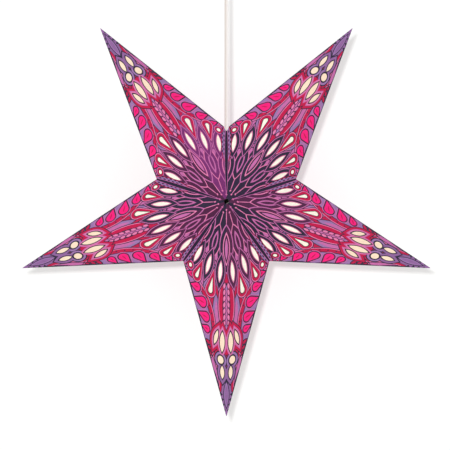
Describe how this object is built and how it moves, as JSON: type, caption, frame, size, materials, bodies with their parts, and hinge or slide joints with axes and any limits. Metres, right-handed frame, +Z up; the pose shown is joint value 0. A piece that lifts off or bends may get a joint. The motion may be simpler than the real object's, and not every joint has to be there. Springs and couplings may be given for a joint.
{
  "type": "paper star lantern",
  "caption": "Five-pointed folded card star lantern with cut, paper-backed windows, hung by a cord from a small ceiling rose.",
  "frame": {"origin": "middle of the ceiling rose's flat top, on the ceiling", "axes": "+Z up, away from the star, +X to the right across the star's five points, -Y out of its printed front"},
  "size_m": [0.6002, 0.1878, 0.6656],
  "materials": {
    "printed_card": "matt printed card, fields of pink, crimson, lavender and plum",
    "lining_paper": "thin translucent cream paper",
    "cotton_string": "twisted cotton",
    "white_plastic": "moulded, satin",
    "socket_insert": "moulded insulator",
    "brass_shell": "pressed sheet",
    "opal_glass": "opal, sealed",
    "cord_sheath": "smooth white sheath",
    "steel": "plated screw"
  },
  "bodies": {
    "root": {"point_upper_left": "printed_card", "point_upper_right": "printed_card", "point_right": "printed_card", "point_bottom": "printed_card", "point_left": "printed_card", "lining_upper_left": "lining_paper", "lining_upper_right": "lining_paper", "lining_right": "lining_paper", "lining_bottom": "lining_paper", "lining_left": "lining_paper", "tie_front_outer": "cotton_string", "tie_front_inner": "cotton_string", "tie_back_outer": "cotton_string", "tie_back_inner": "cotton_string", "lampholder_grip": "white_plastic", "lampholder_cap": "white_plastic", "lampholder_body": "white_plastic", "carrier_ring": "white_plastic", "rose_base": "white_plastic", "rose_cover": "white_plastic", "rose_grip": "white_plastic", "rose_nut": "white_plastic", "terminal_block": "white_plastic", "socket_insert": "socket_insert", "socket_shell": "brass_shell", "bulb": "opal_glass", "cord": "cord_sheath", "cover_screw_left": "steel", "cover_screw_right": "steel"}
  },
  "joints": []
}
